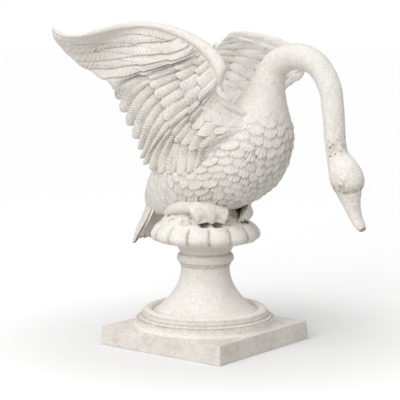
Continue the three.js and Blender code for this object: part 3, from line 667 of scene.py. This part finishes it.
# Wings
# Two raised wings cast as thick sheets rooted in the flanks, each with a smooth round leading
# edge rolled over the feathers: long primaries at the tip, curved secondaries with rounded
# ends, and rows of shorter coverts overlapping them towards the knee.
# Ribs from the tip to the root in mm over the seat: where each starts at the leading edge,
# where it ends, and the radius of the rolled edge
WING_RIBS = [
    [-154, 314, 470, -160, 309, 462, 2.5], [-140, 303, 458, -164, 296, 446, 4],
    [-115, 280, 456, -173, 268, 430, 5], [-90, 250, 464, -172, 244, 411, 6.5],
    [-65, 206, 475, -165, 226, 395, 7.5], [-38, 175, 478, -152, 212, 383, 8.5],
    [-5, 157, 474, -130, 200, 367, 9.5], [30, 148, 465, -108, 190, 353, 10.5],
    [62, 144, 454, -108, 174, 328, 11.5], [92, 143, 441, -107, 158, 298, 12.5],
    [116, 143, 426, -98, 143, 262, 13.5], [138, 142, 406, -90, 130, 229, 14.5],
    [151, 141, 379, -86, 119, 203, 14], [132, 133, 358, -84, 109, 180, 10],
    [121, 125, 343, -60, 98, 158, 5], [121, 114, 328, 4, 109, 160, 5],
    [130, 101, 314, 50, 110, 168, 7], [144, 77, 300, 84, 106, 198, 7],
    [160, 52, 290, 118, 88, 215, 8],
]
WING_THICKNESS = (7, 12)
ROOT_FILL = 46
SHOULDER = 15
ROOT_TOP = 336
KNEE_RIBS = (9.5, 17.5)
ROLL_SWING = 2.72
ROLL_STEPS = (26, 12)
FAR_WING_DROP = 14
FAR_WING_FOLD = (-32, -30, -22)
FAR_FOLD_RIBS = 8
WING_STATIONS = 440
WING_LUMPS = (20, 0.5)
# Share of the groove depth painted brown, as dirt and as painted shade between the feathers
GROOVE_SHADE_SHARE = 0.6
# Feathers up to this number from the tip are long primaries; the kind changes over a few
PRIMARY_LAST = 6.6
PRIMARY_BLEND = 1.6
END_ROUND = 1.98
PLUME_CROWN = 5.0
PLUME_SAW = 4.6
COVERT_BARB = 7
PRIMARY_BARB = 8.5
# A ledge that fills the step below the last primary: its place, half width, rise and level
LEDGE = (6.6, 0.9, 5.5, -4)
# How the feathers lie: for each boundary between feathers, the rib it crosses at five shares
# of the way from the leading edge to the feather ends
LINE_SHARES = [0.1, 0.35, 0.6, 0.8, 1.0]
FEATHER_LINES = [
    [3.2, 1.5, 0.4, 0.0, -0.5], [7.3, 4.9, 2.8, 1.6, 0.9], [7.9, 6.5, 4.5, 2.9, 1.6],
    [8.7, 7.7, 6.2, 5.0, 2.9], [9.2, 8.3, 7.2, 6.2, 4.95], [9.5, 8.7, 7.85, 7.3, 6.4],
    [9.7, 9.0, 8.2, 7.7, 7.6], [9.95, 9.3, 8.55, 8.3, 8.5], [10.3, 9.65, 9.0, 9.0, 9.4],
    [10.6, 10.1, 9.6, 9.7, 10.2], [10.95, 10.6, 10.2, 10.4, 11.1],
    [11.4, 11.2, 10.8, 11.1, 12.0], [12.0, 11.8, 11.5, 11.9, 12.7],
    [12.7, 12.4, 12.2, 12.7, 13.3], [13.3, 13.1, 13.0, 13.4, 13.9],
    [13.9, 13.8, 13.7, 14.0, 14.4], [14.5, 14.4, 14.3, 14.6, 14.95],
    [15.1, 15.0, 14.95, 15.2, 15.5], [15.7, 15.6, 15.55, 15.75, 16.0],
    [16.3, 16.2, 16.2, 16.35, 16.5], [17.1, 17.1, 17.1, 17.1, 17.1],
    [18.1, 18.1, 18.1, 18.1, 18.1],
]
# Rows of feathers from the longest to the shortest: where their ends lie as a share of the
# way out, at nine boundaries spread evenly over the wing, then feathers per boundary and step
ROW_PLACES = [0, 2.5, 5, 7.5, 10, 12.5, 15, 17.5, 20]
FEATHER_ROWS = [
    ([1.3] * 9, 1.0, 0.0),
    ([0.15, 0.53, 0.58, 0.59, 0.61, 0.62, 0.59, 0.65, 0.55], 0.85, 3.6),
    ([0.05, 0.3, 0.29, 0.32, 0.38, 0.38, 0.37, 0.45, 0.4], 0.64, 3.6),
    ([0.0, 0.0, 0.04, 0.12, 0.22, 0.24, 0.18, 0.28, 0.25], 0.64, 3.2),
]


def wing_line(place, share):
    """Points in mm on the wing's middle sheet, right or left wing alike"""
    rib = along(WING_RIBS, place)
    return rib[..., :3] + (rib[..., 3:6] - rib[..., :3]) * share[..., None]


def feather_of(place, share):
    """Which feather each point belongs to, counted from the tip, with fractions"""
    lines = np.array(FEATHER_LINES)
    count = len(lines)
    turn = np.interp(share, LINE_SHARES, np.arange(len(LINE_SHARES)))
    at = np.stack([along(line[:, None], turn)[..., 0] for line in lines])
    number = np.zeros(place.shape)
    for k in range(count - 1):
        inside = (place >= at[k]) & (place < at[k + 1])
        part = (place - at[k]) / np.maximum(at[k + 1] - at[k], 1e-6)
        number = np.where(inside, k + part, number)
    number = np.where(place >= at[-1], count - 1.001, number)
    first = (place - at[0]) / np.maximum(at[1] - at[0], 1e-6)
    return np.where(place < at[0], np.clip(first, -1, 0), number)


def primaries(number):
    """1 for the long feathers of the tip, 0 for the others, by their number from the tip"""
    return smooth((PRIMARY_LAST - number) / PRIMARY_BLEND)


def rounded_end(a):
    """How far a feather's round end falls back at a from -0.5 to 0.5 across it"""
    return 1 - np.sqrt(np.clip(1 - (END_ROUND * a) ** 2, 0, 1))


def plume(a, run, along_tip, luck, primary):
    """One feather at a from -0.5 to 0.5 across it: height in mm, barbs and their strength"""
    crown = PLUME_CROWN * (np.cos(np.clip(a, -0.5, 0.5) * math.pi) ** 0.75 - 0.55) + 0.9 * a
    saw = PLUME_SAW * ((a + 0.5) ** 0.9 * smooth((0.5 - a) * 12) - 0.45)
    slanted = (run - 26 * np.abs(a)) / COVERT_BARB
    barbs = slanted * (1 - primary) + (along_tip - 15 * a) / PRIMARY_BARB * primary + luck
    patch = 0.6 + 0.4 * np.sin(run / 15 + 12 * luck)
    combs = patch * smooth((0.5 - np.abs(a)) * 8)
    combs = combs * (1 + (1.5 * smooth((a + 0.2) * 4) - 0.8) * primary)
    return crown * (1 - primary) + saw * primary, barbs, combs


def feathers(place, share, chord, along_tip, seed):
    """The feathers over the outer side of the sheet: height in mm, barbs and their strength"""
    number = feather_of(place, share)
    primary = primaries(number)
    sheets = np.zeros((3,) + place.shape)
    covered = np.zeros(place.shape, bool)
    at, width, rise, ground = LEDGE
    ledge = rise * bump(number - at, width) + ground
    ends = []
    for row, (tips, density, step) in enumerate(FEATHER_ROWS):
        shift = 0.5 * (row % 2)
        w = number * density + shift
        index = np.floor(w)
        a = w - index - 0.5
        middle = (index + 0.5 - shift) / density
        end = np.interp(middle, ROW_PLACES, tips)
        luck = chance(index, row + 0 * index, seed)
        cut = 15 * (0.5 - a) * primary - 10 * rounded_end(a) * (1 - primary)
        end = end + ((luck - 0.5) * 9 * (1 - 0.6 * primary) + cut) / np.maximum(chord, 30)
        ends.append((end, a, luck, step * (1 - 0.6 * primary)))
    for row in range(len(FEATHER_ROWS) - 1, -1, -1):
        end, a, luck, step = ends[row]
        root = ends[row + 1][0] if row + 1 < len(ends) else np.zeros(place.shape)
        t = np.clip((share - root) / np.maximum(end - root, 0.05), 0, 1)
        mine = (share <= end) & ~covered & (end > 0.03)
        height, barbs, combs = plume(a, share * chord, along_tip, luck, primary)
        height = height + step * (0.75 + 0.5 * luck) * t ** 1.3
        height = np.maximum(height, ledge)
        combs = combs * smooth((1 - t) * 12)
        sheets = np.where(mine, [height, barbs, combs], sheets)
        covered |= mine
    return sheets


# The inner side has its own rows, whose feathers run along the wing towards its tip: for each
# row, shares of the way out and the rib where its feathers end there
INNER_SPACING = 0.14
INNER_SLANT = 0.085
INNER_STEP = 3.5
INNER_RELIEF = 0.6
RIB_SPACING = 36
INNER_ENDS = [
    ([0.7, 1.2, 1.6, 2.2], [5.6, 6.8, 8.8, 12]), ([0.7, 1.37, 1.8, 2.4], [7.9, 9.8, 12, 15]),
    ([0.7, 1.37, 1.8, 2.4], [10.4, 12.4, 14.2, 16.5]),
]


def inner_feathers(place, share, seed):
    """The feathers over the inner side of the sheet: height in mm, barbs and their strength"""
    number = (share + INNER_SLANT * place) / INNER_SPACING
    index = np.floor(number)
    a = number - index - 0.5
    middle = (index + 0.5) * INNER_SPACING
    run = place * RIB_SPACING
    sheets = np.array(plume(a, run, 0 * a, chance(index, 0 * index, seed), 0 * a))
    for row, (lines, ends) in enumerate(INNER_ENDS):
        luck = chance(index, row + 1 + 0 * index, seed)
        end = np.interp(middle, lines, ends) + 0.4 * rounded_end(a) + 0.5 * (luck - 0.5)
        height, barbs, combs = plume(a, run, 0 * a, luck, 0 * a)
        height = height + INNER_STEP * (1 - (place - end) / 2.6)
        sheets = np.where(place > end, [height, barbs, combs], sheets)
    sheets[0] *= INNER_RELIEF
    return sheets


def wing_end(place, tip_notch):
    """How far out each rib reaches, notched between the feathers"""
    number = feather_of(place, np.ones(place.shape))
    primary = primaries(number)
    a = number - np.floor(number) - 0.5
    deep = 0.03 + 0.05 * smooth((number - 5.6) / 1.5)
    saw = smooth((0.1 - a) * 1.6) * tip_notch
    uneven = 0.03 * (chance(np.floor(number), 3 + 0 * number) - 0.5) * smooth((number - 9) / 2)
    return 1 - deep * (rounded_end(a) * (1 - primary) + saw * primary) + uneven


def wing(name, side, outer_count, inner_count):
    """One wing as closed sections, tip to root; side is 1 for the bird's left"""
    last = len(WING_RIBS) - 1
    place = np.linspace(0, last, WING_STATIONS)[:, None]
    zero = np.zeros_like(place)
    chord = np.linalg.norm(wing_line(place, zero + 1) - wing_line(place, zero), axis=2)
    roll = np.minimum(along(WING_RIBS, place)[..., 6], chord / 5)
    thin, thick = WING_THICKNESS
    sheet = np.minimum((thin + (thick - thin) * place / last) / 2, roll)
    reach_end = chord * wing_end(place, 0.5 if side < 0 else 0.1)
    faces = []
    for count, sign in ((outer_count, 1), (inner_count, -1)):
        turned = ROLL_STEPS[0] if sign > 0 else ROLL_STEPS[1]
        swing = np.linspace(0, ROLL_SWING, turned)[None]
        over = -roll * np.cos(swing)
        bulge = roll if sign > 0 else sheet
        rise_over = np.maximum(bulge * np.sin(swing), np.where(swing > 1.5, sheet * 0.75, 0))
        start = -roll * math.cos(ROLL_SWING)
        t = np.linspace(0, 1, count - turned + 1)[None, 1:]
        reach = np.concatenate([over, start + (reach_end - start) * t], 1)
        share = reach / chord
        grid = np.repeat(place, reach.shape[1], 1)
        wide = np.repeat(chord, reach.shape[1], 1)
        along_tip = -wing_line(grid, share)[..., 0]
        if sign > 0:
            relief, barbs, combs = feathers(grid, share, wide, along_tip, 1.0)
        else:
            relief, barbs, combs = inner_feathers(grid, share, 2.0)
        clear = smooth((reach - start - 0.5) / 5)
        knee = smooth((place - KNEE_RIBS[0]) / 2) * smooth((KNEE_RIBS[1] - place) / 2)
        calm = 1 - 0.75 * knee * smooth(1 - share / 0.16)
        shoulder = smooth((grid - 13.9) / 1.3) * smooth((0.34 - share) / 0.2)
        calm = calm * (1 - shoulder) * smooth((17.6 - grid) / 0.9)
        relief = relief * clear * calm * (0.55 + 0.45 * smooth(wide / 60))
        combs = combs * clear * calm
        under = -2.0 * bump(reach - start, 4.5) * smooth((14 - grid) / 2)
        taper = smooth((reach_end - reach) / 6) * 0.6 + 0.4
        flat = sheet * (1 - 0.65 * smooth((grid - 12) / 2) * np.clip(share, 0, 1))
        flat = (flat + np.maximum(relief, 1.2 - flat)) * taper
        if sign > 0:
            dome = np.sin(math.pi * np.clip((share - 0.04) / 0.7, 0, 1))
            flat = flat + SHOULDER * smooth((grid - 14) / 1.4) * dome
        rise = np.concatenate([rise_over, (flat + under)[:, turned:]], 1)
        p = wing_line(grid, share)
        across = wing_line(grid, share + 0.02) - wing_line(grid, share - 0.02)
        ahead = wing_line(np.clip(grid + 0.1, 0, last), share)
        ahead = ahead - wing_line(np.clip(grid - 0.1, 0, last), share)
        normal = np.cross(across, ahead)
        normal /= np.linalg.norm(normal, axis=2, keepdims=True) + 1e-9
        normal *= np.where(normal[..., 1:2] < 0, -1, 1)
        points = p + normal * (rise * sign)[..., None]
        if sign < 0:
            low = smooth((ROOT_TOP - p[..., 2]) / 70) * smooth((1 - share) * 4)
            points[..., 1] -= ROOT_FILL * low
        uneven = lumps(points, WING_LUMPS[0], side * 3.3) * WING_LUMPS[1]
        points += (normal * sign) * uneven[..., None]
        if side > 0:
            sag = smooth((150 - p[..., 0]) / 150) * smooth((p[..., 2] - 300) / 100)
            points[..., 2] -= FAR_WING_DROP * sag
            fold = smooth((FAR_FOLD_RIBS - grid) / FAR_FOLD_RIBS)
            points += np.array(FAR_WING_FOLD) * fold[..., None]
        points[..., 1] *= side
        points[..., 2] += SEAT
        # The grooves between the feathers are painted brown: partly dirt, partly painted shade
        # where each feather overlaps the next
        groove_dirt_and_shade = GROOVE_SHADE_SHARE * hollows(np.concatenate([0 * rise_over, relief[:, turned:]], 1), 4)
        faces.append((points, groove_dirt_and_shade, barbs, combs))
    rings, groove_dirt_and_shade, barbs, combs = [np.concatenate([outer, inner[:, :0:-1]], 1)
                                 for outer, inner in zip(*faces)]
    piece = skin(name, rings, groove_dirt_and_shade, barbs, combs)
    finish_piece(piece, "swan", swan_paint, 65)


wing("swan_wing_right", -1, 146, 58)
wing("swan_wing_left", 1, 96, 106)

# Tail
# A short fan of seven stiff feathers hanging behind the mound, cast with the rump.
# Places down the fan in mm over the seat: x and z of its middle, then x, y and z of its edge
TAIL_RIBS = [
    [-104, 158, -60, 58, 158], [-128, 130, -84, 58, 128], [-142, 98, -94, 60, 94],
    [-156, 66, -104, 68, 58], [-174, 28, -132, 66, 20], [-188, -6, -158, 57, -10],
]
TAIL_FEATHERS = 7
TAIL_THICKNESS = 12
TAIL_COLUMNS = 24
TAIL_STATIONS = 64
TAIL_NOTCH = 0.07
TAIL_LENGTH = 190
TAIL_BARB = 5.5

fan = np.linspace(-1, 1, TAIL_FEATHERS * TAIL_COLUMNS + 1)[:, None]
down = np.linspace(0, 1, TAIL_STATIONS)[None]
feather = (fan + 1) / 2 * TAIL_FEATHERS
a = feather - np.floor(np.minimum(feather, TAIL_FEATHERS - 0.001)) - 0.5
tip = 1 - TAIL_NOTCH * rounded_end(a)
spine = 0.9 * bump(a, 0.07)
sides = []
for sign in (1, -1):
    reach = down * tip
    rows = along(TAIL_RIBS, reach * (len(TAIL_RIBS) - 1))
    mx, mz, ex, ey, ez = [rows[..., k] for k in range(5)]
    x, z, y = mx + (ex - mx) * fan ** 2, mz + (ez - mz) * fan ** 2, ey * fan
    crown = 2.2 * (np.sqrt(np.clip(1 - (1.94 * a) ** 2, 0, 1)) - 0.5) + spine
    comb = 0.35 * np.sin((reach * TAIL_LENGTH - 14 * np.abs(a)) * math.tau / TAIL_BARB)
    half = TAIL_THICKNESS / 2 + crown * (0.9 if sign < 0 else 0.6) + comb
    half = half * (0.45 + 0.55 * smooth((1 - down) * 14))
    inner = 0.96 if sign > 0 else 1.0
    points = np.stack([x + sign * half * 0.9, y * inner, z + sign * half * 0.4 + SEAT], 2)
    points[..., 0] += lumps(points, 14, 9.0) * 0.7
    # The grooves between the tail feathers are painted brown: partly dirt, partly painted shade
    sides.append((points, hollows(half + 0 * x, 3)))
rings = np.concatenate([sides[0][0], sides[1][0][:, ::-1]], 1)
depths = np.concatenate([sides[0][1], sides[1][1][:, ::-1]], 1)
tail = skin("swan_tail", rings, depths)
finish_piece(tail, "swan", swan_paint, 60)

# Feet
# Two webbed feet cast in one with the belly and the mound: three thick toes with the web
# hanging between them like cloth, and the shank running back under the flank.
# Where the web leaves the belly, outer to inner toe; the shank's line from the foot backwards,
# with its radius
FOOT_TOP = [[16, 86, 86], [28, 84, 97], [44, 77, 100], [64, 61, 95], [82, 34, 87]]
LEFT_FOOT_TURN = 32
TOE_BEARINGS = (63, 44, 27)
TOE_REACH = 97
TOE_HEIGHT = 55
TOE_RADIUS = 3.5
WEB_THICKNESS = 10
WEB_LIFT = 11
SOLE_DEPTH = 8
LEFT_FOOT_SUNK = 5
FOOT_COLUMNS = 109
FOOT_STATIONS = 70
SHANK_STATIONS = 60
SHANK_COLUMNS = 40
LEG_VOXEL = 1.6
LEG_SMOOTHING = 5
SHANK = [
    [44, 72, 88, 12], [22, 79, 90, 14], [2, 81, 90, 14.5], [-18, 79, 86, 13.5],
    [-38, 74, 80, 12], [-56, 66, 73, 9], [-70, 58, 67, 4],
]

for side, name in ((-1, "right"), (1, "left")):
    across = np.linspace(0, 2, FOOT_COLUMNS)[None]
    k = np.clip(np.floor(across), 0, 1)
    turned = math.radians(LEFT_FOOT_TURN) if side > 0 else 0
    bearing = np.radians(np.interp(across, [0, 1, 2], TOE_BEARINGS)) - turned
    toe = np.abs(np.cos((across - k) * math.pi)) ** 1.2
    arch = smooth((1 - np.abs(np.cos((across - k) * math.pi))) * 1.5)
    reach = TOE_REACH * (1 - 0.03 * arch)
    t = np.linspace(0, 1, FOOT_STATIONS)[:, None]
    foot_end = TOE_HEIGHT + WEB_LIFT * arch
    tips = np.stack([reach * np.cos(bearing), reach * np.sin(bearing), foot_end], 2)
    start = along(FOOT_TOP, across * 2)
    path = start + (tips - start) * t[..., None]
    outwards = np.stack([0.8 * np.cos(bearing), 0.8 * np.sin(bearing), 0.6 + 0 * bearing], 2)
    rise = WEB_THICKNESS + TOE_RADIUS * toe * smooth(t * 1.5) + 8 * np.sin(t * math.pi)
    rise = rise * np.sqrt(np.clip(1.02 - np.clip((t - 0.84) / 0.16, 0, 1) ** 2, 0, 1))
    top = path + outwards * rise[..., None]
    top += outwards * (lumps(top, 15, 4.0) * 1.5)[..., None]
    sunk = SOLE_DEPTH - (SOLE_DEPTH - 3 * toe + arch) * smooth((t - 0.2) * 2.5)
    sunk = sunk + LEFT_FOOT_SUNK * (side > 0)
    under = path - outwards * sunk[..., None]
    rings = np.concatenate([top, under[:, ::-1]], 1)
    rings[..., 1] *= side
    rings[..., 2] += SEAT
    foot = skin("swan_leg_" + name, rings, np.zeros(rings.shape[:2]))
    line = along(SHANK, np.linspace(0, len(SHANK) - 1, SHANK_STATIONS))
    turn = np.arange(SHANK_COLUMNS)[None] / SHANK_COLUMNS * math.tau
    radius = line[:, 3, None]
    x = line[:, 0, None] + 0.3 * radius * np.cos(turn)
    y = line[:, 1, None] + radius * np.cos(turn)
    z = line[:, 2, None] + radius * np.sin(turn)
    rings = np.stack([x + 0 * turn, y * side, z + SEAT], 2)
    rings[..., 2] += lumps(rings, 12, 6.0) * 1.2
    shank = skin("shank", rings, np.zeros(rings.shape[:2]))
    bpy.ops.object.select_all(action="DESELECT")
    shank.select_set(True)
    foot.select_set(True)
    bpy.context.view_layer.objects.active = foot
    bpy.ops.object.join()
    blend = foot.modifiers.new("one casting", "REMESH")
    blend.mode = "VOXEL"
    blend.voxel_size = LEG_VOXEL * MM
    bpy.ops.object.modifier_apply(modifier=blend.name)
    soften = foot.modifiers.new("worn", "SMOOTH")
    soften.factor = 0.5
    soften.iterations = LEG_SMOOTHING
    bpy.ops.object.modifier_apply(modifier=soften.name)
    finish_piece(foot, "swan", swan_paint, 60)

# Studio
# A white seamless sheet, painted greyer round the foot as a soft shadow, a broad soft light in
# front of the bird's right side, one overhead and a weak one near the camera, and an even white
# sky. The sheet and the sky look white to the camera and throw a little less light back than that.
SKY_LIGHT = 0.42
# The floor is painted greyer as a soft shadow round the foot, between these distances in metres
# from the middle
SHADE_FROM = 0.16
SHADE_TO = 0.7
FLOOR_SIZE = 60
# Broad lights: name, where each comes from, its spread in degrees and its power
SUNS = (("key light", (0.14, -0.75, 0.8), 65, 1.5), ("overhead light", (0, 0, 1), 120, 0.72))
FILL_PLACE = Vector((0.2, -1.6, 1.0))
FILL_AIM = Vector((0, 0, 0.5))
FILL_SIZE = 0.8
FILL_POWER = 5.5

backing = bpy.data.materials.new("matt white paper sweep")
backing.use_nodes = True
tree = backing.node_tree
tree.nodes.clear()
spot = add_node(tree, "ShaderNodeTexCoord").outputs["Object"]
away = add_node(tree, "ShaderNodeVectorMath", {"operation": "LENGTH"}, _0=spot)
# The floor's colour is painted greyer near the foot as a soft shadow and white further out
out_of_painted_shadow = add_node(tree, "ShaderNodeMapRange", {"interpolation_type": "SMOOTHSTEP"},
                      Value=away.outputs["Value"], From_Min=SHADE_FROM, From_Max=SHADE_TO)
paper = add_node(tree, "ShaderNodeMix", {"data_type": "RGBA"}, _0=out_of_painted_shadow.outputs[0],
                 _6=linear("#E8E8E8"), _7=linear("#FEFEFE"))
seen = add_node(tree, "ShaderNodeLightPath").outputs["Is Camera Ray"]
white = add_node(tree, "ShaderNodeMix", {"data_type": "RGBA"}, _0=seen, _6=linear("#CBC9C6"),
                 _7=paper.outputs[2])
matt = add_node(tree, "ShaderNodeBsdfPrincipled", Base_Color=white.outputs[2], Roughness=1.0,
                Specular_IOR_Level=0.0)
add_node(tree, "ShaderNodeOutputMaterial", Surface=matt.outputs[0])
bpy.ops.mesh.primitive_plane_add(size=FLOOR_SIZE, location=(0, 0, 0))
floor = bpy.context.object
floor.name = "floor"
floor.data.materials.append(backing)

world = bpy.data.worlds.new("soft studio sky")
bpy.context.scene.world = world
world.use_nodes = True
tree = world.node_tree
tree.nodes.clear()
seen = add_node(tree, "ShaderNodeLightPath").outputs["Is Camera Ray"]
strength = add_node(tree, "ShaderNodeMapRange", Value=seen, To_Min=SKY_LIGHT, To_Max=1.0)
sky = add_node(tree, "ShaderNodeBackground", Color=linear("#FFFFFF"), Strength=strength.outputs[0])
add_node(tree, "ShaderNodeOutputWorld", Surface=sky.outputs[0])
bpy.context.scene.view_settings.view_transform = "Standard"

for name, towards, spread, power in SUNS:
    data = bpy.data.lights.new(name, "SUN")
    data.angle = math.radians(spread)
    data.energy = power
    lamp = bpy.data.objects.new(name, data)
    lamp.rotation_euler = Vector(towards).to_track_quat("Z", "Y").to_euler()
    lamp.location = Vector(towards) * 3
    bpy.context.collection.objects.link(lamp)
data = bpy.data.lights.new("fill light", "AREA")
data.size = FILL_SIZE
data.energy = FILL_POWER
lamp = bpy.data.objects.new("fill light", data)
lamp.location = FILL_PLACE
lamp.rotation_euler = (FILL_PLACE - FILL_AIM).to_track_quat("Z", "Y").to_euler()
bpy.context.collection.objects.link(lamp)

# Camera
# Seen from in front of the bird's right side, a little above its back, with a long lens.
LENS = 126
CAMERA_PLACE = (1.8637, -2.4098, 0.6971)
CAMERA_BEARING = 127.9416
CAMERA_PITCH = 7.126

lens = bpy.data.cameras.new("camera")
lens.sensor_fit = "HORIZONTAL"
lens.sensor_width = 36
lens.lens = LENS
camera = bpy.data.objects.new("camera", lens)
bpy.context.collection.objects.link(camera)
bearing = math.radians(CAMERA_BEARING)
pitch = math.radians(CAMERA_PITCH)
ahead = Vector((math.cos(bearing) * math.cos(pitch), math.sin(bearing) * math.cos(pitch),
                -math.sin(pitch)))
right = Vector((math.sin(bearing), -math.cos(bearing), 0))
upward = right.cross(ahead)
camera.matrix_world = Matrix.Translation(CAMERA_PLACE) @ Matrix(
    (right, upward, -ahead)).transposed().to_4x4()
bpy.context.scene.camera = camera
